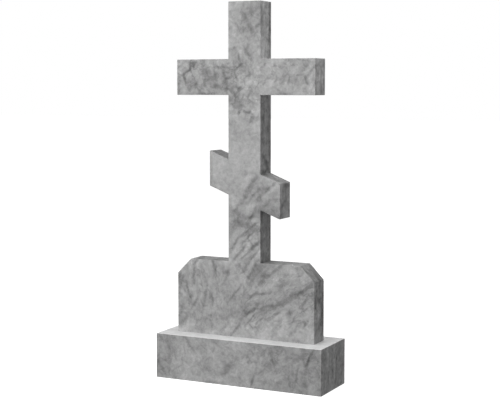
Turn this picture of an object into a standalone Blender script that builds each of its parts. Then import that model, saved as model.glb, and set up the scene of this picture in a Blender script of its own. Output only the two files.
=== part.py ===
"""Marble grave monument: a three-ended cross and its tablet cut from one slab, set on a block plinth.

Units are metres and +Z is up. The front faces -Y, and the origin is the middle of the plinth's underside.
"""

import math

import bmesh
import bpy

# Slab: tablet, post, arm and footrest are one piece of one thickness
SLAB_THICKNESS = 0.080
SLAB_WIDTH = 0.500
POST_WIDTH = 0.117
FOOTREST_WIDTH = 0.256
FOOTREST_SLOPE = math.radians(21.7)
TABLET_CORNER_CUT = 0.050

# Heights on the slab, stacked from its foot up along the middle of the post
TABLET_HEIGHT = 0.250
LOWER_POST_HEIGHT = 0.197
FOOTREST_HEIGHT = 0.117
MIDDLE_POST_HEIGHT = 0.233
ARM_HEIGHT = 0.117
HEAD_HEIGHT = 0.186

# Plinth: a block that reaches past the slab on all four sides
PLINTH_HEIGHT = 0.150
PLINTH_END_MARGIN = 0.050
PLINTH_FACE_MARGIN = 0.060

# Finish: eased edges, and the bed between slab and plinth
ARRIS = 0.002
BED_GAP = 0.0003

MARBLE_GREY = (0.33, 0.33, 0.325, 1.0)
MARBLE_ROUGHNESS = 0.4


def clear_scene():
    """Removes whatever the scene holds."""
    for item in list(bpy.data.objects):
        bpy.data.objects.remove(item, do_unlink=True)


def marble(name):
    """A plain grey marble for one piece."""
    material = bpy.data.materials.new(name)
    material.use_nodes = True
    shader = material.node_tree.nodes["Principled BSDF"]
    shader.inputs["Base Color"].default_value = MARBLE_GREY
    shader.inputs["Roughness"].default_value = MARBLE_ROUGHNESS
    shader.inputs["Metallic"].default_value = 0.0
    return material


def slab_side(side):
    """One side of the slab's outline, from its foot to its top: side is 1 for right and -1 for left.

    The footrest crosses the post at a slope, so its corners drop towards the right by x times the slope.
    """
    edge = side * SLAB_WIDTH / 2
    post = side * POST_WIDTH / 2
    rest = side * FOOTREST_WIDTH / 2
    fall = math.tan(FOOTREST_SLOPE)
    rest_under = TABLET_HEIGHT + LOWER_POST_HEIGHT
    rest_over = rest_under + FOOTREST_HEIGHT
    arm_under = rest_over + MIDDLE_POST_HEIGHT
    arm_over = arm_under + ARM_HEIGHT
    return [
        (edge, 0.0),
        (edge, TABLET_HEIGHT - TABLET_CORNER_CUT),
        (edge - side * TABLET_CORNER_CUT, TABLET_HEIGHT),
        (post, TABLET_HEIGHT),
        (post, rest_under - post * fall),
        (rest, rest_under - rest * fall),
        (rest, rest_over - rest * fall),
        (post, rest_over - post * fall),
        (post, arm_under),
        (edge, arm_under),
        (edge, arm_over),
        (post, arm_over),
        (post, arm_over + HEAD_HEIGHT),
    ]


def cut_block(name, outline, thickness):
    """A block of one thickness in Y, cut to an outline of (x, z) points, with its upper edges eased.

    Outer corners and the edges round both faces get the arris. Inner corners and the foot stay square.
    """
    shape = bmesh.new()
    corners = [shape.verts.new((x, -thickness / 2, z)) for x, z in outline]
    front = shape.faces.new(corners)
    grown = bmesh.ops.extrude_face_region(shape, geom=[front])["geom"]
    back = [item for item in grown if isinstance(item, bmesh.types.BMVert)]
    bmesh.ops.translate(shape, verts=back, vec=(0.0, thickness, 0.0))
    bmesh.ops.recalc_face_normals(shape, faces=shape.faces)
    eased = [edge for edge in shape.edges if edge.is_convex and max(v.co.z for v in edge.verts) > ARRIS]
    bmesh.ops.bevel(shape, geom=eased, offset=ARRIS, segments=1, affect="EDGES")
    mesh = bpy.data.meshes.new(name)
    shape.to_mesh(mesh)
    shape.free()
    block = bpy.data.objects.new(name, mesh)
    block.data.materials.append(marble(name))
    bpy.context.collection.objects.link(block)
    return block


def build_plinth():
    """The plinth: a plain block, wider and deeper than the slab that stands on its middle."""
    half = SLAB_WIDTH / 2 + PLINTH_END_MARGIN
    outline = [(-half, 0.0), (half, 0.0), (half, PLINTH_HEIGHT), (-half, PLINTH_HEIGHT)]
    return cut_block("plinth", outline, SLAB_THICKNESS + 2 * PLINTH_FACE_MARGIN)


def build_cross_slab():
    """The slab: a low tablet with cut corners, out of which the cross rises."""
    outline = slab_side(1) + slab_side(-1)[::-1]
    slab = cut_block("cross_slab", outline, SLAB_THICKNESS)
    slab.location.z = PLINTH_HEIGHT + BED_GAP
    return slab


def build_monument():
    """The whole monument under one empty at the middle of its underside."""
    clear_scene()
    monument = bpy.data.objects.new("monument", None)
    bpy.context.collection.objects.link(monument)
    for piece in (build_plinth(), build_cross_slab()):
        piece.parent = monument


build_monument()
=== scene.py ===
import math

import bpy
import numpy as np
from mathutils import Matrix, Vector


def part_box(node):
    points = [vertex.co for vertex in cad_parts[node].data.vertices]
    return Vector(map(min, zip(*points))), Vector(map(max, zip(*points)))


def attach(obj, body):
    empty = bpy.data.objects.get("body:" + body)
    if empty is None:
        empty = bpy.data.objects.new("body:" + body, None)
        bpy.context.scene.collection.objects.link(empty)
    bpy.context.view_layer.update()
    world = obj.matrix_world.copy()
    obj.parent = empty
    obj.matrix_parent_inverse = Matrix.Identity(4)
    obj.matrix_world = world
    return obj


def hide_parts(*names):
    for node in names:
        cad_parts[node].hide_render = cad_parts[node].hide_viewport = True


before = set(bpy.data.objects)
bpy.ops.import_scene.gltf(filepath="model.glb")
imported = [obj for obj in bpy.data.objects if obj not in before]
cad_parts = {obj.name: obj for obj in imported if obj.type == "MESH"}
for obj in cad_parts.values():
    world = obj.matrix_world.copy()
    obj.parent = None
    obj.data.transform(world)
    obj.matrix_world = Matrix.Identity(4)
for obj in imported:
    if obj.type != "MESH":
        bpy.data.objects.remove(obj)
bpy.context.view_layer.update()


# Plinth
# A block sawn from grey clouded marble, with honed faces and a paler, matt top, whose paleness is partly
# its matt finish and partly painted light on the top.
# Its edges are rubbed down by hand, and it lies level on the footing under the slab.

# The waves of the wander are each given by their count round the outline and their start in radians
ARRIS_RADIUS = 0.0018
ARRIS_STEPS = 4
ARRIS_WANDER = 0.25
WANDER_WAVES = [(17, 0.0), (29, 1.3), (53, 4.1)]
PATH_STEP = 0.012
SIDE_RINGS = 4
SHARP_ANGLE = math.radians(35)


def rounded_path(corners, eased):
    """The outline as closely spaced points, each with the way it moves when the outline is inset.

    An outer corner between two eased edges becomes an arc, tangent to both edges. Every edge is then
    divided evenly. A point's inset way W solves W . n = e for the normal n of each edge that it lies
    on, where e is 1 on an eased edge and 0 on a square one, so a corner keeps its mitre.
    """
    edges = np.roll(corners, -1, axis=0) - corners
    lengths = np.hypot(edges[:, 0], edges[:, 1])
    along = edges / lengths[:, None]
    outward = np.stack([along[:, 1], -along[:, 0]], axis=1)
    arriving = np.roll(along, 1, axis=0)
    turn = arriving[:, 0] * along[:, 1] - arriving[:, 1] * along[:, 0]
    bend = np.arccos(np.clip(np.sum(arriving * along, axis=1), -1.0, 1.0))
    is_round = (turn > 0) & (eased > 0) & (np.roll(eased, 1) > 0)
    setback = np.where(is_round, ARRIS_RADIUS * np.tan(bend / 2), 0.0)
    points, ways = [], []
    for here in range(len(corners)):
        before = here - 1
        after = (here + 1) % len(corners)
        if is_round[here]:
            centre = corners[here] - along[before] * setback[here] - outward[before] * ARRIS_RADIUS
            share = np.linspace(0.0, 1.0, ARRIS_STEPS + 1)[:, None]
            early = outward[before] * np.sin((1 - share) * bend[here])
            late = outward[here] * np.sin(share * bend[here])
            normal = (early + late) / math.sin(bend[here])
            points.append(centre + ARRIS_RADIUS * normal)
            ways.append(normal)
        else:
            pull = np.linalg.solve(outward[[before, here]], eased[[before, here]])
            points.append(corners[here][None])
            ways.append(pull[None])
        end = lengths[here] - setback[after]
        divisions = max(2, int(round((end - setback[here]) / PATH_STEP)))
        share = np.linspace(setback[here], end, divisions + 1)[1:-1, None]
        points.append(corners[here] + along[here] * share)
        ways.append(np.repeat(outward[here][None] * eased[here], divisions - 1, axis=0))
    return np.concatenate(points), np.concatenate(ways)


def cut_stone(name, corners, eased, front, back):
    """A stone of one thickness, cut to an outline of (x, z) corners, anticlockwise from the front.

    The profile across an edge is carried along the outline: a quarter circle of the arris radius from
    the front face to the side, straight through the thickness, and the same quarter circle to the back.
    A point of it is path - inset * way at depth y. The radius wanders along the path by a sum of sines,
    as a hand-rubbed arris does, and both faces stay flat. Two attributes say where a point lies: arris
    is 1 on the rubbed edges, and sawn is 1 on the sides between them.
    """
    path, ways = rounded_path(np.array(corners), np.array(eased, float))
    travel = np.cumsum(np.hypot(*(path - np.roll(path, 1, axis=0)).T))
    turns = 2 * math.pi * travel / travel[-1]
    wander = sum(np.sin(waves * turns + start) for waves, start in WANDER_WAVES) / len(WANDER_WAVES)
    radius = ARRIS_RADIUS * (1 - ARRIS_WANDER / 2 + ARRIS_WANDER / 2 * wander)

    angle = np.linspace(0.0, math.pi / 2, ARRIS_STEPS + 1)
    inset = np.outer(1 - np.sin(angle), radius)
    depth = np.outer(1 - np.cos(angle), radius)
    middle = np.linspace(0.0, 1.0, SIDE_RINGS + 2)[1:-1, None] * np.ones_like(radius)
    straight = front + ARRIS_RADIUS + middle * (back - front - 2 * ARRIS_RADIUS)
    insets = np.concatenate([inset, np.zeros_like(straight), inset[::-1]])
    depths = np.concatenate([front + depth, straight, back - depth[::-1]])
    flat = path[None] - insets[:, :, None] * ways[None]
    verts = np.stack([flat[:, :, 0], depths, flat[:, :, 1]], axis=2)

    rings, around = depths.shape
    index = np.arange(rings * around).reshape(rings, around)
    ahead = np.roll(index, -1, axis=1)
    quads = np.stack([index[:-1], index[1:], ahead[1:], ahead[:-1]], axis=2).reshape(-1, 4)
    faces = [index[0].tolist(), index[-1][::-1].tolist(), *quads.tolist()]
    mesh = bpy.data.meshes.new(name)
    mesh.from_pydata(verts.reshape(-1, 3), [], faces)
    edge_wear_and_highlight = np.zeros((rings, around))
    edge_wear_and_highlight[1:ARRIS_STEPS] = 1.0
    edge_wear_and_highlight[-ARRIS_STEPS:-1] = 1.0
    mesh.attributes.new("arris", "FLOAT", "POINT").data.foreach_set("value", edge_wear_and_highlight.ravel())
    sawn = np.zeros((rings, around))
    sawn[ARRIS_STEPS:-ARRIS_STEPS] = 1.0
    mesh.attributes.new("sawn", "FLOAT", "POINT").data.foreach_set("value", sawn.ravel())
    mesh.shade_smooth()
    mesh.set_sharp_from_angle(angle=SHARP_ANGLE)
    stone = bpy.data.objects.new(name, mesh)
    bpy.context.collection.objects.link(stone)
    flatten = stone.modifiers.new("flat faces stay flat", "WEIGHTED_NORMAL")
    flatten.keep_sharp = True
    return stone


class Tone:
    """A socket of a material, used in plain sums: every operator adds its own Math node."""

    def __init__(self, tree, socket):
        self.tree = tree
        self.socket = socket

    def node(self, kind, settings, sockets, out=0):
        """Adds a node with its settings, then gives its sockets their values or links."""
        made = self.tree.nodes.new(kind)
        for name, value in settings.items():
            setattr(made, name, value)
        for key, value in sockets.items():
            if isinstance(value, Tone):
                self.tree.links.new(value.socket, made.inputs[key])
            else:
                made.inputs[key].default_value = value
        return Tone(self.tree, made.outputs[out])

    def math(self, operation, first, second=0.0):
        """Adds a Math node on one or two values."""
        return self.node("ShaderNodeMath", {"operation": operation}, {0: first, 1: second})

    def __add__(self, other):
        return self.math("ADD", self, other)

    def __sub__(self, other):
        return self.math("SUBTRACT", self, other)

    def __rsub__(self, other):
        return self.math("SUBTRACT", other, self)

    def __mul__(self, other):
        return self.math("MULTIPLY", self, other)

    def __abs__(self):
        return self.math("ABSOLUTE", self)

    __radd__ = __add__
    __rmul__ = __mul__


NOISE_MIDDLE = 0.5
THREAD_DETAIL = 2.0
BEND_DETAIL = 3.0
PATCH_CORE = 0.55
PATCH_EDGE = 1.1


def rise(value, low, high, start=0.0, end=1.0):
    """A smooth step from start to end as the value goes from low to high.

    It needs no clamp, because a smooth step stays between its ends, and hundreds of clamps in one
    material are more than the renderer can hold.
    """
    settings = {"interpolation_type": "SMOOTHSTEP", "clamp": False}
    limits = {"Value": value, "From Min": low, "From Max": high, "To Min": start, "To Max": end}
    return value.node("ShaderNodeMapRange", settings, limits)


def cloud(place, scale, detail, roughness=0.55, out=0):
    """Fractal noise at a place, with a scale in blobs to the metre."""
    sockets = {"Vector": place, "Scale": scale, "Detail": detail, "Roughness": roughness}
    return place.node("ShaderNodeTexNoise", {}, sockets, out)


def stirred(noise, depth):
    """How far a noise moves a value from its plain one: up to half the depth either way."""
    return (noise - NOISE_MIDDLE) * depth


def thread(place, scale, width):
    """Thin crooked lines where fractal noise crosses its middle value: 1 on the line, 0 off it."""
    return rise(abs(cloud(place, scale, THREAD_DETAIL) - NOISE_MIDDLE), 0.0, width, 1.0, 0.0)


def on_vectors(operation, sockets, out=0):
    """A Vector Math node, whose first socket takes a place."""
    return sockets[0].node("ShaderNodeVectorMath", {"operation": operation}, sockets, out)


def shifted(place, offset, amount=(1.0, 1.0, 1.0)):
    """A place times an amount on each axis, plus an offset."""
    return on_vectors("MULTIPLY_ADD", {0: place, 1: amount, 2: offset})


def crooked(place, scale, reach, seed):
    """A place pushed about by noise, by up to half the reach in metres each way."""
    push = cloud(shifted(place, seed), scale, BEND_DETAIL, out=1)
    centred = shifted(push, (-NOISE_MIDDLE, -NOISE_MIDDLE, -NOISE_MIDDLE))
    return on_vectors("MULTIPLY_ADD", {0: centred, 1: (reach, reach, reach), 2: place})


def patch(place, x, z, across, up):
    """A soft-edged ellipse seen from the front, given by its half width across and half height up.

    It is 1 out to about half way from its middle, and fades to 0 a little past its edge.
    """
    share = shifted(place, (-x / across, 0.0, -z / up), (1 / across, 0.0, 1 / up))
    length = on_vectors("LENGTH", {0: share}, "Value")
    return rise(length, PATCH_CORE, PATCH_EDGE, 1.0, 0.0)


MM = 0.001
LEVEL = np.array([1.0, 0.0, 0.0])
INWARD = np.array([0.0, 1.0, 0.0])
UPWARD = np.array([0.0, 0.0, 1.0])


def covered(place, patches):
    """The sum of soft patches, each (x, z, half width, half height, strength), in mm but the last."""
    total = 0.0
    for x, z, across, up, strength in patches:
        total = patch(place, x * MM, z * MM, across * MM, up * MM) * strength + total
    return total


def laid(place, level, slope, scales):
    """A place measured along, through and across beds, which rise along the level axis by a slope.

    The slope is in degrees. Returns the measured place, and the three directions that it is measured
    by, each times its scale.
    """
    angle = math.radians(slope)
    along = math.cos(angle) * level + math.sin(angle) * UPWARD
    across = math.cos(angle) * UPWARD - math.sin(angle) * level
    ways = np.array([along, np.cross(UPWARD, level), across]) * np.array(scales)[:, None]
    dots = [on_vectors("DOT_PRODUCT", {0: place, 1: tuple(way)}, "Value") for way in ways]
    return place.node("ShaderNodeCombineXYZ", {}, dict(enumerate(dots))), ways


# Veins: the lengths over widths and the degrees that they are sorted by, how far a metre of depth
# counts beside one across, and the half widths in which a vein fades
STRETCHES = np.array([1.5, 4.0, 9.0])
SLOPE_STEP = 10
VEIN_THROUGH = 0.08
VEIN_FADE = 1.9


def veined(bent, origin, level, veins):
    """What the veins of one face leave of the tone: 1 off them, less on a dark one, more on a pale one.

    Each vein is (place along the level axis, height, slope, half length, half width, darkness), in
    millimetres and degrees. It is a long thin blot, seen in bent places so that it wanders: its tone
    depends on the distance from its middle with the length pressed to the width. Veins of nearly one
    slope and one stretch are measured together, and all run deep into the stone.
    """
    groups = {}
    for across, z, slope, half_length, half_width, darkness in veins:
        stretch = STRETCHES[np.argmin(abs(np.log(STRETCHES * half_width / half_length)))]
        key = (SLOPE_STEP * round(slope / SLOPE_STEP) % 180, float(stretch))
        groups.setdefault(key, []).append((across, z, half_width, darkness))
    left = 1.0
    for (slope, stretch), group in sorted(groups.items()):
        seen, ways = laid(bent, level, slope, (1 / stretch, VEIN_THROUGH, 1.0))
        for across, z, half_width, darkness in group:
            middle = ways @ (np.array(origin) + across * MM * level + z * MM * UPWARD)
            off = on_vectors("DISTANCE", {0: seen, 1: tuple(middle)}, "Value")
            left = rise(off, 0.0, half_width * MM * VEIN_FADE, 1.0 - darkness, 1.0) * left
    return left


# Bends of the pattern, each by its waves to the metre and its reach in metres
LOOSE_BEND = (9.0, 0.09)
WIDE_BEND = (24.0, 0.028)
TIGHT_BEND = (95.0, 0.009)
VEIN_WIDE_BEND = (30.0, 0.013)
VEIN_TIGHT_BEND = (85.0, 0.007)

# Colours of the stone at tone 0 and 1, and the tone where nothing stirs it
DARK = (0.03, 0.03, 0.03, 1.0)
PALE = (0.60, 0.60, 0.60, 1.0)
PLAIN_TONE = 0.615

# Kinds of mark, each by its blobs to the metre, detail and roughness, and how deep it stirs the tone
CLOUDS = (11.0, 2.0, 0.5)
CLOUD_DEPTH = 0.20
DRIFTS = (16.0, 5.0, 0.65)
DRIFT_DEPTH = 0.50
BLOTS = (34.0, 3.0, 0.6)
BLOT_DEPTH = 0.75
MOTTLE = (85.0, 4.0, 0.7)
MOTTLE_DEPTH = 0.70
GRAIN = (600.0, 2.0, 0.6)
GRAIN_DEPTH = 0.08

# Layers run parallel to the broad faces, so their noise is pressed most from front to back
LAYERS = (1.0, 4.0, 0.6)
LAYER_SCALES = (3.0, 30.0, 5.0)
LAYER_DEPTH = 0.65

# Share of the drifts, blots and nets that a full smooth patch takes away
SMOOTHING = 0.6

# Sawn sides: deeper layers, spots and mottling, and a slight lift
SAWN_LAYER_DEPTH = 0.45
SPOTS = (45.0, 3.0, 0.6)
SPOT_DEPTH = 0.7
SAWN_MOTTLE_DEPTH = 0.3
SAWN_LIFT = 0.012

# Nets: threads by their blobs to the metre and width, what they take of the tone, and how much of
# them there is outside the netted patches
WIDE_NET = (15.0, 0.045)
FINE_NET = (33.0, 0.05)
NET_DARKNESS = 0.22
NET_ANYWHERE = 0.2

# Beds: their scales along, through and across, then the threads and smoke in a place so scaled
BED_SCALES = (5.0, 22.0, 22.0)
LONG_WISP = (1.1, 0.05)
LONG_WISP_DARKNESS = 0.22
SHORT_WISP = (2.2, 0.06)
SHORT_WISP_DARKNESS = 0.20
SMOKE = (0.9, 4.0, 0.6)
SMOKE_STEP = (0.46, 0.62)
SMOKE_DARKNESS = 0.26

# Swelling of the veins: the noise, its smooth step, and the power that it raises them to
SWELL = (62.0, 3.0)
SWELL_STEP = (0.38, 0.62)
SWELL_POWER = (0.75, 1.6)

# Matt top: how far below it the change starts and ends, its share of the tone, and what it adds, partly
# as the paler matt finish and partly as painted light on the top
MATT_START = 0.0012
MATT_FULL = 0.0004
MATT_COVER = 0.5
MATT_AND_PAINTED_LIGHT_LIFT = 1.17

# Finish: the lift of the rubbed edges, partly their wear and partly a painted highlight along them, the
# roughness of each part, and the bumps of the surface
ARRIS_WEAR_AND_HIGHLIGHT_LIFT = 0.03
HONED_ROUGHNESS = 0.50
MOTTLE_ROUGHNESS = 0.2
ARRIS_ROUGHNESS = 0.1
GRAIN_HEIGHT = 0.6
MOTTLE_HEIGHT = 0.4
BUMP_STRENGTH = 0.25
BUMP_DISTANCE = 0.0004
SPECULAR = 0.4


def grey_marble(name, seed, faces, netted, wispy, smooth, matt_painted_light_top=None):
    """Honed grey marble: clouds and mottling, nets of threads, beds of wisps, and the veins of each face.

    The colour is DARK + tone * (PALE - DARK), which a matt top takes past PALE, partly as its paler
    matt finish and partly as painted light on the top. Noises stir the tone about its plain value, and
    then nets, wisps and veins each leave a share of it. The seed moves the noise, so that each block
    has its own. Faces give a face's origin, level axis and veins. Netted and smooth are patches where
    the nets are strong or the marks faint, wispy gives the slope and patches of each bed of wisps, and
    the last argument is the height of a top that is matt, and pale partly from painted light.
    """
    material = bpy.data.materials.new(name)
    material.use_nodes = True
    tree = material.node_tree
    shader = tree.nodes["Principled BSDF"]
    place = Tone(tree, tree.nodes.new("ShaderNodeTexCoord").outputs["Object"])

    # The offsets here and below only pick another stretch of the noise
    loose = crooked(place, *LOOSE_BEND, (seed[0] + 1.3, 0.2, 0.6))
    bent = crooked(place, *WIDE_BEND, (seed[0] + 2.3, 0.2, 5.6))
    bent = crooked(bent, *TIGHT_BEND, (0.3, 7.2, seed[2]))
    wavy = crooked(place, *VEIN_WIDE_BEND, (seed[0] + 4.3, 1.2, 5.6))
    wavy = crooked(wavy, *VEIN_TIGHT_BEND, (2.3, 7.2, seed[2]))
    own = shifted(bent, seed)

    clouds = cloud(shifted(place, seed), *CLOUDS)
    drifts = cloud(own, *DRIFTS)
    blots = cloud(shifted(own, (3.0, 1.0, 2.0)), *BLOTS)
    mottle = cloud(own, *MOTTLE)
    grain = cloud(place, *GRAIN)
    lively = 1.0 - covered(loose, smooth) * SMOOTHING
    layers = cloud(shifted(bent, seed, LAYER_SCALES), *LAYERS)
    tone = PLAIN_TONE + stirred(clouds, CLOUD_DEPTH)
    tone = tone + (stirred(drifts, DRIFT_DEPTH) + stirred(blots, BLOT_DEPTH)) * lively
    tone = tone + stirred(mottle, MOTTLE_DEPTH) + stirred(grain, GRAIN_DEPTH)
    sawn = place.node("ShaderNodeAttribute", {"attribute_name": "sawn"}, {}, "Fac")
    tone = tone + stirred(layers, LAYER_DEPTH + sawn * SAWN_LAYER_DEPTH)
    spots = cloud(shifted(own, (9.0, 4.0, 6.0)), *SPOTS)
    tone = tone + (stirred(spots, SPOT_DEPTH) + stirred(mottle, SAWN_MOTTLE_DEPTH) + SAWN_LIFT) * sawn

    net = thread(own, *WIDE_NET) * NET_DARKNESS
    net = net + thread(shifted(own, (5.0, 2.0, 1.0)), *FINE_NET) * NET_DARKNESS
    tone = tone * (1.0 - net * (covered(loose, netted) + NET_ANYWHERE) * lively)
    for slope, patches in wispy:
        beds, _ = laid(own, LEVEL, slope, BED_SCALES)
        wisp = thread(beds, *LONG_WISP) * LONG_WISP_DARKNESS
        wisp = wisp + thread(shifted(beds, (4.0, 1.0, 7.0)), *SHORT_WISP) * SHORT_WISP_DARKNESS
        smoke = rise(cloud(beds, *SMOKE), *SMOKE_STEP) * SMOKE_DARKNESS
        tone = tone * (1.0 - (wisp + smoke) * covered(loose, patches))

    left = 1.0
    for origin, level, veins in faces:
        left = veined(wavy, origin, level, veins) * left
    swell = rise(cloud(own, *SWELL), *SWELL_STEP, *SWELL_POWER)
    tone = tone * left.math("POWER", left, swell)

    # Painted light: the top is made paler as a matt finish and brighter still as painted light on it
    if matt_painted_light_top is not None:
        height = place.node("ShaderNodeSeparateXYZ", {}, {0: place}, "Z")
        matt_and_painted_light = rise(height, matt_painted_light_top - MATT_START, matt_painted_light_top - MATT_FULL)
        tone = tone * (1.0 - matt_and_painted_light * MATT_COVER) + matt_and_painted_light * MATT_AND_PAINTED_LIGHT_LIFT
    # The rubbed edges are made paler: partly wear, partly a painted highlight along the edges
    edge_wear_and_highlight = place.node("ShaderNodeAttribute", {"attribute_name": "arris"}, {}, "Fac")
    tone = tone + edge_wear_and_highlight * ARRIS_WEAR_AND_HIGHLIGHT_LIFT

    # Sockets 6 and 7 of a Mix node are its two colours, and 2 is its colour output
    settings = {"data_type": "RGBA", "clamp_factor": False}
    mixed = place.node("ShaderNodeMix", settings, {"Factor": tone, 6: DARK, 7: PALE}, 2)
    tree.links.new(mixed.socket, shader.inputs["Base Color"])
    dull = HONED_ROUGHNESS + stirred(mottle, MOTTLE_ROUGHNESS) + edge_wear_and_highlight * ARRIS_ROUGHNESS
    tree.links.new(dull.socket, shader.inputs["Roughness"])
    relief = grain * GRAIN_HEIGHT + mottle * MOTTLE_HEIGHT
    surface = {"Height": relief, "Strength": BUMP_STRENGTH, "Distance": BUMP_DISTANCE}
    bump = place.node("ShaderNodeBump", {}, surface)
    tree.links.new(bump.socket, shader.inputs["Normal"])
    shader.inputs["Specular IOR Level"].default_value = SPECULAR
    return material


plinth_low, plinth_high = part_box("plinth")
plinth_corners = [
    (plinth_low[0], plinth_low[2]),
    (plinth_high[0], plinth_low[2]),
    (plinth_high[0], plinth_high[2]),
    (plinth_low[0], plinth_high[2]),
]
plinth_front = plinth_low[1]
plinth_eased = [0, 1, 1, 1]
plinth = cut_stone("plinth_block", plinth_corners, plinth_eased, plinth_front, plinth_high[1])

# Veins of each face: place along it, height, slope, half length, half width and darkness
plinth_front_veins = [
    (260, 118, 66, 30, 4, 0.50),
    (245, 32, 60, 18, 9, 0.30),
    (236, 10, 80, 14, 6, 0.30),
    (58, 22, 68, 18, 4, 0.40),
    (150, 25, 60, 16, 8, 0.22),
    (105, 25, 70, 14, 6, 0.18),
    (132, 95, -68, 28, 3, 0.22),
    (216, 60, 75, 30, 4, 0.20),
    (287, 75, -58, 24, 3, 0.22),
    (-35, 55, 40, 26, 10, 0.25),
    (-120, 45, 30, 24, 10, 0.22),
    (-175, 125, -50, 26, 8, 0.30),
    (-278, 32, -50, 22, 5, 0.28),
    (-293, 60, 85, 26, 4, 0.25),
    (-265, 100, 100, 30, 10, -0.12),
    (-275, 60, 90, 80, 26, 0.08),
    (45, 85, 60, 9, 4, 0.30),
    # These two darken short stretches along the bottom edge
    (-90, 4, 5, 30, 4, 0.25),
    (78, 3, 0, 26, 3, 0.25),
]
plinth_side_veins = [
    (-35, 80, 80, 50, 6, 0.25),
    (-5, 70, 95, 55, 5, 0.28),
    (22, 60, 84, 50, 5, 0.24),
    (55, 95, 98, 40, 5, 0.20),
    (15, 20, 60, 22, 7, 0.22),
    (-70, 60, 88, 45, 5, 0.16),
    (0, 75, 0, 200, 120, 0.04),
]
plinth_faces = [
    ((0.0, plinth_front, 0.0), LEVEL, plinth_front_veins),
    ((plinth_high[0], 0.0, 0.0), INWARD, plinth_side_veins),
]
plinth_nets = [(0, 70, 500, 200, 0.5)]
plinth_wisps = [
    (98, [(-200, 70, 100, 100, 0.4)]),
    (42, [(150, 70, 200, 100, 0.4)]),
]
plinth_smooth = [(0, 75, 600, 250, 0.5)]
plinth_seed = (0.7, 0.0, 0.4)
plinth_marble = grey_marble(
    "plinth marble", plinth_seed, plinth_faces, plinth_nets, plinth_wisps, plinth_smooth, plinth_high[2])
plinth.data.materials.append(plinth_marble)
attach(plinth, "root")
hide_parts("plinth")


# Cross slab
# One slab of the same marble, 80 mm thick: a low tablet with cut corners, and out of it the cross.
# It is sawn to one outline through its whole thickness and set on the middle of the plinth.

slab_low, slab_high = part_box("cross_slab")
POST_WIDTH = 0.117
FOOTREST_WIDTH = 0.256
FOOTREST_SLOPE = math.radians(21.7)
TABLET_CORNER_CUT = 0.050
TABLET_HEIGHT = 0.250
LOWER_POST_HEIGHT = 0.197
FOOTREST_HEIGHT = 0.117
MIDDLE_POST_HEIGHT = 0.233
ARM_HEIGHT = 0.117

slab_foot = slab_low[2]
tablet_top = slab_foot + TABLET_HEIGHT
rest_under = tablet_top + LOWER_POST_HEIGHT
rest_over = rest_under + FOOTREST_HEIGHT
arm_under = rest_over + MIDDLE_POST_HEIGHT
arm_over = arm_under + ARM_HEIGHT


def slab_side(side):
    """One side of the outline from the foot up, where 1 is right and -1 is left.

    The footrest falls to the right, so its corners drop by the tangent of its slope times x.
    """
    edge = side * (slab_high[0] - slab_low[0]) / 2
    post = side * POST_WIDTH / 2
    rest = side * FOOTREST_WIDTH / 2
    fall = math.tan(FOOTREST_SLOPE)
    return [
        (edge, slab_foot),
        (edge, tablet_top - TABLET_CORNER_CUT),
        (edge - side * TABLET_CORNER_CUT, tablet_top),
        (post, tablet_top),
        (post, rest_under - post * fall),
        (rest, rest_under - rest * fall),
        (rest, rest_over - rest * fall),
        (post, rest_over - post * fall),
        (post, arm_under),
        (edge, arm_under),
        (edge, arm_over),
        (post, arm_over),
        (post, slab_high[2]),
    ]


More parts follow.
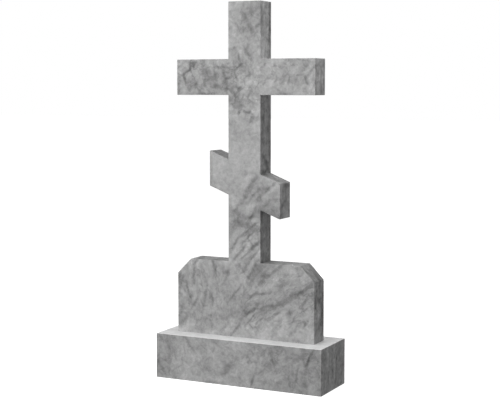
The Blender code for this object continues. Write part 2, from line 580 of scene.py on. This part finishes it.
slab_corners = slab_side(1) + slab_side(-1)[::-1]
slab_eased = [1] * (len(slab_corners) - 1) + [0]
slab_front = slab_low[1]
slab = cut_stone("cross_and_tablet", slab_corners, slab_eased, slab_front, slab_high[1])
front_veins = [
    # Head of the post
    (25, 1222, 82, 26, 6, 0.26),
    (26, 1207, 60, 10, 7, 0.25),
    (17, 1172, -62, 20, 8, 0.40),
    (-7, 1160, 20, 13, 8, 0.34),
    (48, 1171, 30, 8, 6, 0.45),
    (38, 1138, 70, 12, 4, 0.22),
    (13, 1108, 74, 36, 5, 0.22),
    (14, 1076, -64, 20, 6, 0.42),
    (-18, 1068, 95, 18, 4, 0.40),
    (-40, 1099, 18, 18, 4, 0.20),
    (-35, 1185, 122, 24, 4, 0.16),
    (-4, 1238, 0, 20, 16, -0.12),
    (-38, 1145, 98, 34, 11, -0.12),
    (27, 1120, 80, 10, 7, -0.12),
    # Left half of the arm
    (-212, 1024, 30, 19, 4, 0.76),
    (-201, 1043, 85, 18, 4, 0.48),
    (-191, 1052, -8, 18, 11, 0.78),
    (-186, 1040, 96, 20, 4, 0.30),
    (-222, 1001, 108, 16, 4, 0.44),
    (-241, 1004, 45, 14, 4, 0.26),
    (-243, 972, 92, 22, 5, 0.24),
    (-192, 1012, 118, 24, 3, 0.26),
    (-178, 984, 20, 12, 5, 0.34),
    (-169, 965, -52, 17, 4, 0.42),
    # Painted shade: a dark line along the lower edge of the left arm
    (-140, 951, 0, 34, 4, 0.50),
    (-147, 986, 88, 14, 6, 0.40),
    (-106, 1008, 98, 26, 5, 0.26),
    (-103, 977, -8, 14, 7, 0.45),
    (-82, 1037, 4, 24, 4, 0.28),
    (-73, 1012, -56, 18, 4, 0.36),
    (-59, 1003, 18, 13, 4, 0.42),
    (-69, 991, 85, 10, 6, 0.42),
    (-62, 969, 70, 16, 9, 0.40),
    (-63, 1032, 20, 9, 7, -0.16),
    (-112, 1050, 10, 22, 15, -0.14),
    (-162, 1030, 112, 22, 8, -0.14),
    (-140, 968, 20, 10, 8, -0.16),
    (-125, 985, 0, 110, 50, 0.10),
    # Crossing
    (-25, 1015, 70, 70, 40, 0.08),
    (-26, 1036, 32, 17, 5, 0.74),
    (-32, 1012, 102, 17, 4, 0.50),
    (4, 1050, 116, 14, 7, 0.14),
    (18, 1018, 90, 12, 6, 0.12),
    (16, 1011, 30, 14, 4, 0.26),
    (-17, 967, 47, 20, 4, 0.46),
    (-39, 957, 120, 14, 4, 0.20),
    (15, 978, 20, 34, 16, -0.08),
    # Right half of the arm
    (64, 1029, 84, 12, 5, 0.34),
    (74, 1044, 50, 9, 4, 0.28),
    (110, 1036, 90, 13, 4, 0.24),
    (113, 994, 80, 13, 4, 0.28),
    (157, 996, 85, 14, 3, 0.24),
    (175, 1046, 30, 13, 7, 0.24),
    (214, 1034, 60, 14, 5, 0.26),
    (208, 1058, -8, 28, 4, 0.24),
    (222, 986, 120, 11, 6, 0.38),
    (217, 1002, 100, 10, 6, 0.24),
    (212, 1036, 40, 12, 8, 0.22),
    (234, 1022, 52, 26, 4, 0.26),
    # Painted shade: a dark line along the lower edge of the right arm
    (140, 951, 0, 48, 3, 0.35),
    (165, 1005, 0, 95, 45, 0.06),
    (245, 1000, 70, 36, 12, -0.12),
    # Under the arm
    (-30, 925, 90, 40, 24, 0.12),
    (-37, 950, -36, 16, 5, 0.30),
    (-51, 932, 60, 13, 7, 0.34),
    (-12, 930, 55, 13, 4, 0.30),
    (-38, 911, -40, 14, 6, 0.36),
    (-22, 908, 10, 8, 5, 0.34),
    (-10, 912, 10, 10, 6, 0.46),
    (-18, 893, 60, 7, 5, 0.40),
    (6, 894, -20, 13, 5, 0.44),
    (20, 894, 80, 8, 5, 0.38),
    (28, 875, 60, 11, 6, 0.44),
    (25, 861, 40, 7, 5, 0.34),
    (43, 872, 60, 16, 5, 0.20),
    (22, 928, -48, 13, 3, 0.30),
    (18, 948, 60, 10, 4, 0.22),
    (31, 940, 95, 15, 5, 0.18),
    (43, 946, -10, 8, 6, 0.28),
    (45, 934, -20, 12, 5, -0.14),
    (40, 898, 20, 15, 12, -0.18),
    (8, 912, -40, 16, 6, -0.12),
    (34, 835, 100, 22, 7, -0.10),
    # Footrest
    (-121, 690, 92, 38, 4, 0.22),
    (38, 672, 54, 36, 9, 0.30),
    (12, 630, 60, 24, 9, 0.30),
    (-12, 598, 44, 24, 6, 0.26),
    (-36, 566, 64, 20, 5, 0.20),
    (34, 622, 52, 28, 4, 0.28),
    (15, 636, 20, 8, 6, 0.24),
    (44, 642, 52, 50, 22, 0.14),
    (74, 648, 24, 18, 9, 0.38),
    (88, 645, 43, 40, 5, 0.36),
    (52, 611, 60, 12, 8, 0.38),
    (57, 588, 84, 16, 6, 0.22),
    (37, 572, 66, 14, 5, 0.28),
    (93, 597, 20, 26, 20, 0.34),
    (81, 591, 20, 8, 7, 0.40),
    (110, 652, 45, 28, 8, -0.18),
    (114, 622, 62, 30, 10, -0.08),
    (13, 569, 40, 20, 14, -0.38),
    (24, 553, -5, 10, 7, 0.50),
    (27, 542, 0, 10, 6, -0.28),
    # Lower post
    (-14, 532, 40, 34, 22, 0.26),
    (-44, 512, 60, 20, 8, 0.20),
    (28, 518, 42, 36, 4, 0.45),
    (13, 482, 50, 30, 4, 0.38),
    (24, 468, -46, 13, 3, 0.34),
    (40, 459, 38, 24, 5, 0.36),
    (-28, 468, 52, 34, 4, 0.34),
    (-16, 432, 54, 34, 5, 0.42),
    (-46, 440, 50, 22, 4, 0.32),
    (18, 436, 44, 32, 4, 0.38),
    (26, 412, 52, 24, 4, 0.34),
    (33, 485, 30, 14, 12, -0.26),
    (14, 465, 30, 12, 10, -0.26),
    (42, 420, 50, 26, 8, -0.12),
    # Tablet, middle and right
    (28, 374, 56, 40, 5, 0.24),
    (58, 384, 30, 30, 18, 0.20),
    (65, 358, 80, 8, 5, 0.26),
    (80, 361, 20, 15, 8, 0.40),
    (108, 378, 38, 46, 5, 0.30),
    (-2, 368, -46, 28, 3, 0.22),
    (60, 337, 44, 22, 5, 0.32),
    (24, 330, 68, 40, 16, 0.22),
    (-32, 298, 52, 34, 4, 0.32),
    (29, 292, 40, 13, 5, 0.46),
    (30, 264, 12, 13, 4, 0.36),
    (72, 303, 14, 52, 4, 0.32),
    (132, 330, 46, 20, 6, 0.20),
    (155, 342, 30, 26, 6, 0.14),
    (90, 262, 8, 26, 4, 0.32),
    (58, 251, 0, 15, 5, 0.24),
    (110, 257, 50, 13, 7, 0.24),
    (27, 302, 0, 9, 7, -0.20),
    (31, 262, 0, 9, 7, -0.20),
    (12, 186, 50, 14, 9, -0.20),
    (36, 203, 40, 14, 8, -0.18),
    (154, 289, 30, 40, 12, 0.42),
    (206, 316, 34, 34, 6, 0.34),
    (233, 338, 36, 28, 7, 0.26),
    (25, 241, 42, 32, 5, 0.38),
    (24, 192, -50, 13, 3, 0.30),
    (24, 214, 46, 28, 3, 0.36),
    (60, 215, 46, 26, 4, 0.24),
    (216, 284, 62, 22, 4, 0.40),
    (206, 266, 30, 10, 6, 0.26),
    (219, 213, 56, 22, 4, 0.40),
    (163, 242, 60, 15, 9, 0.34),
    (176, 222, 62, 10, 4, 0.30),
    (162, 213, 50, 9, 6, 0.36),
    (112, 236, 34, 24, 4, 0.22),
    (132, 358, 36, 64, 18, -0.10),
    (232, 298, 60, 32, 16, -0.18),
    (238, 240, 80, 40, 16, -0.12),
    (160, 352, 34, 64, 28, -0.18),
    (95, 330, 34, 36, 16, -0.12),
    (82, 196, 30, 28, 16, -0.12),
    # Tablet, left
    (-198, 380, 40, 18, 13, -0.20),
    (-187, 356, 84, 30, 6, 0.46),
    (-182, 390, 50, 18, 5, 0.30),
    (-188, 322, 75, 12, 6, 0.40),
    (-114, 384, 96, 22, 6, 0.44),
    (-110, 352, 84, 20, 5, 0.32),
    (-243, 308, 90, 26, 6, 0.44),
    (-236, 352, 60, 18, 5, 0.24),
    (-205, 268, 50, 20, 5, 0.26),
    (-232, 330, 70, 20, 4, 0.26),
    (-145, 278, 78, 32, 5, 0.34),
    (-120, 276, 106, 26, 5, 0.36),
    (-184, 253, 62, 13, 5, 0.50),
    (-210, 290, 112, 26, 4, 0.22),
    (-60, 365, 20, 16, 8, 0.26),
    (-68, 345, 62, 26, 5, 0.20),
    (-235, 226, 74, 28, 6, 0.28),
    (-228, 190, 50, 28, 7, 0.24),
    (-140, 205, 24, 24, 9, 0.18),
    (-30, 232, 20, 28, 13, 0.14),
    (-28, 180, 50, 30, 5, 0.32),
    (-48, 192, 46, 26, 9, -0.10),
    (-72, 182, 48, 26, 5, 0.24),
    (-90, 280, 40, 36, 22, -0.07),
]
# Entries 25 to 32 mm toward the back at a slope near 90 are painted shade: dark strips down the back edge
# of the side
post_side_veins = [
    (29, 1200, 90, 60, 8, 0.50),
    (27, 1145, 90, 30, 9, 0.52),
    (32, 1100, 86, 36, 6, 0.30),
    (-26, 1212, 10, 18, 10, 0.14),
    (-28, 1158, 0, 16, 10, 0.16),
    (28, 905, 90, 14, 8, 0.20),
    (28, 872, 90, 15, 9, 0.30),
    (25, 830, 88, 22, 8, 0.28),
    (28, 768, 90, 30, 9, 0.46),
    (-26, 872, 20, 16, 10, 0.18),
    (-28, 824, 0, 15, 9, 0.20),
    (-18, 796, -20, 22, 8, 0.18),
    (18, 800, 20, 14, 10, 0.12),
    (2, 736, -34, 30, 6, 0.50),
    (14, 712, -54, 26, 8, 0.46),
    (-10, 699, 14, 26, 6, 0.50),
    (31, 500, 90, 70, 7, 0.24),
    (-24, 556, 14, 18, 9, 0.26),
    (-20, 510, 0, 14, 8, 0.14),
    (-4, 420, -20, 18, 8, 0.18),
]
# Entries 25 to 32 mm toward the back at a slope near 90 are painted shade: dark strips down the back edge
# of the side
end_side_veins = [
    (29, 1030, 90, 40, 7, 0.22),
    (29, 972, 90, 26, 8, 0.32),
    (4, 342, 82, 24, 9, 0.36),
    (26, 300, 90, 44, 7, 0.50),
    (28, 235, 90, 40, 8, 0.46),
    (-16, 296, -28, 26, 7, 0.30),
    (12, 268, -46, 28, 8, 0.40),
    (2, 288, 60, 16, 8, 0.34),
    (2, 205, 34, 24, 9, 0.34),
    (26, 180, 70, 24, 9, 0.36),
    (-34, 218, 90, 16, 7, 0.28),
]
rest_side_veins = [
    (-14, 640, 30, 34, 16, 0.40),
    (18, 656, 4, 30, 9, 0.46),
    (-18, 584, 52, 36, 13, 0.42),
    (22, 600, 80, 22, 12, -0.12),
    (-28, 606, -16, 18, 5, 0.24),
]
slab_faces = [
    ((0.0, slab_front, 0.0), LEVEL, front_veins),
    ((POST_WIDTH / 2, 0.0, 0.0), INWARD, post_side_veins),
    ((slab_high[0], 0.0, 0.0), INWARD, end_side_veins),
    ((FOOTREST_WIDTH / 2, 0.0, 0.0), INWARD, rest_side_veins),
]
slab_nets = [
    (-150, 1005, 170, 100, 0.75),
    (0, 970, 80, 120, 0.7),
    (170, 1000, 120, 80, 0.5),
]
slab_wisps = [
    (98, [(-140, 300, 140, 170, 0.6), (20, 1170, 70, 110, 0.5)]),
    (46, [(0, 480, 100, 90, 0.5), (40, 290, 90, 150, 0.7)]),
    (34, [(170, 290, 140, 150, 0.75)]),
]
slab_smooth = [
    (0, 790, 90, 130, 1.0),
    (50, 610, 100, 90, 0.9),
    (-80, 700, 80, 90, 1.0),
    (-110, 300, 130, 130, 0.6),
    (140, 350, 120, 80, 1.0),
    (120, 260, 150, 90, 0.5),
]
slab_seed = (0.0, 0.0, 0.0)
slab_marble = grey_marble("slab marble", slab_seed, slab_faces, slab_nets, slab_wisps, slab_smooth)
slab.data.materials.append(slab_marble)
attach(slab, "root")
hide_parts("cross_slab")


# Studio
# A pale glowing floor runs out to a white ground. Five soft lights stand round the stone: a big one in
# front, one overhead, one on the left, one behind that gives no shine, and a small one high on the right.
# The camera has the photograph's view, level with the arm's lower half and turned round to the right.

FLOOR_SIZE = 60.0
FLOOR_COLOUR = (0.8, 0.8, 0.8, 1.0)
FLOOR_ROUGHNESS = 0.9
FLOOR_GLOW = 0.85
WHITE = (1.0, 1.0, 1.0, 1.0)
reach = FLOOR_SIZE / 2
floor_corners = [(-reach, -reach, 0), (reach, -reach, 0), (reach, reach, 0), (-reach, reach, 0)]
floor_mesh = bpy.data.meshes.new("floor")
floor_mesh.from_pydata(floor_corners, [], [(0, 1, 2, 3)])
floor = bpy.data.objects.new("floor", floor_mesh)
bpy.context.collection.objects.link(floor)
pale = bpy.data.materials.new("pale floor")
pale.use_nodes = True
pale_shader = pale.node_tree.nodes["Principled BSDF"]
pale_shader.inputs["Base Color"].default_value = FLOOR_COLOUR
pale_shader.inputs["Roughness"].default_value = FLOOR_ROUGHNESS
pale_shader.inputs["Emission Color"].default_value = WHITE
pale_shader.inputs["Emission Strength"].default_value = FLOOR_GLOW
floor_mesh.materials.append(pale)
floor.visible_diffuse = False
floor.visible_glossy = False

# The ground is white where the camera sees it, and lights the stone with only this share of that
AMBIENT = 0.32
world = bpy.data.worlds.new("white ground")
bpy.context.scene.world = world
world.use_nodes = True
sky = world.node_tree
ground = sky.nodes["Background"]
seen = Tone(sky, sky.nodes.new("ShaderNodeLightPath").outputs["Is Camera Ray"])
strength = AMBIENT + seen * (1.0 - AMBIENT)
sky.links.new(strength.socket, ground.inputs["Strength"])
ground.inputs["Color"].default_value = WHITE


def soft_light(name, place, aim, size, power, spread):
    """A square softbox at a place, turned to face its aim, with its power in watts, spread in degrees."""
    light = bpy.data.lights.new(name, "AREA")
    light.shape = "SQUARE"
    light.size = size
    light.energy = power
    light.spread = math.radians(spread)
    lamp = bpy.data.objects.new(name, light)
    lamp.location = place
    way = np.array(aim) - np.array(place)
    tilt = math.atan2(math.hypot(way[0], way[1]), -way[2])
    lamp.rotation_euler = (tilt, 0.0, math.atan2(-way[0], way[1]))
    bpy.context.collection.objects.link(lamp)
    return lamp


middle = (0.0, 0.0, 0.6)
soft_light("front softbox", (-0.5, -2.55, 1.1), middle, size=1.0, power=33.6, spread=170)
soft_light("overhead softbox", (0.25, 0.35, 3.0), (0.1, 0.0, 0.0), size=1.2, power=14.5, spread=170)
soft_light("left softbox", (-1.6, -0.6, 2.2), (-0.2, 0.0, 0.4), size=0.6, power=5.0, spread=120)
back_light = soft_light("back softbox", (-0.75, 2.4, 0.45), middle, size=0.9, power=16.0, spread=150)
back_light.visible_glossy = False
soft_light("right softbox", (0.95, 0.05, 2.15), (0.05, 0.03, 0.98), size=0.25, power=0.72, spread=56)

# The focal length and the point on the lens's axis are in pixels of the photograph
PHOTO_WIDTH = 500
PHOTO_HEIGHT = 400
FOCAL_PIXELS = 1219.7
AXIS_COLUMN = 244.7
AXIS_ROW = 180.0
SENSOR = 36.0
EYE_PLACE = (1.7659, -3.5912, 0.9733)
EYE_TILT = math.radians(90.0 - 4.36)
EYE_TURN = math.radians(26.42)
camera = bpy.data.cameras.new("camera")
camera.sensor_width = SENSOR
camera.lens = FOCAL_PIXELS / PHOTO_WIDTH * SENSOR
camera.shift_x = (PHOTO_WIDTH / 2 - AXIS_COLUMN) / PHOTO_WIDTH
camera.shift_y = (AXIS_ROW - PHOTO_HEIGHT / 2) / PHOTO_WIDTH
eye = bpy.data.objects.new("camera", camera)
eye.location = EYE_PLACE
eye.rotation_euler = (EYE_TILT, 0.0, EYE_TURN)
bpy.context.collection.objects.link(eye)
bpy.context.scene.camera = eye
bpy.context.scene.view_settings.view_transform = "Standard"
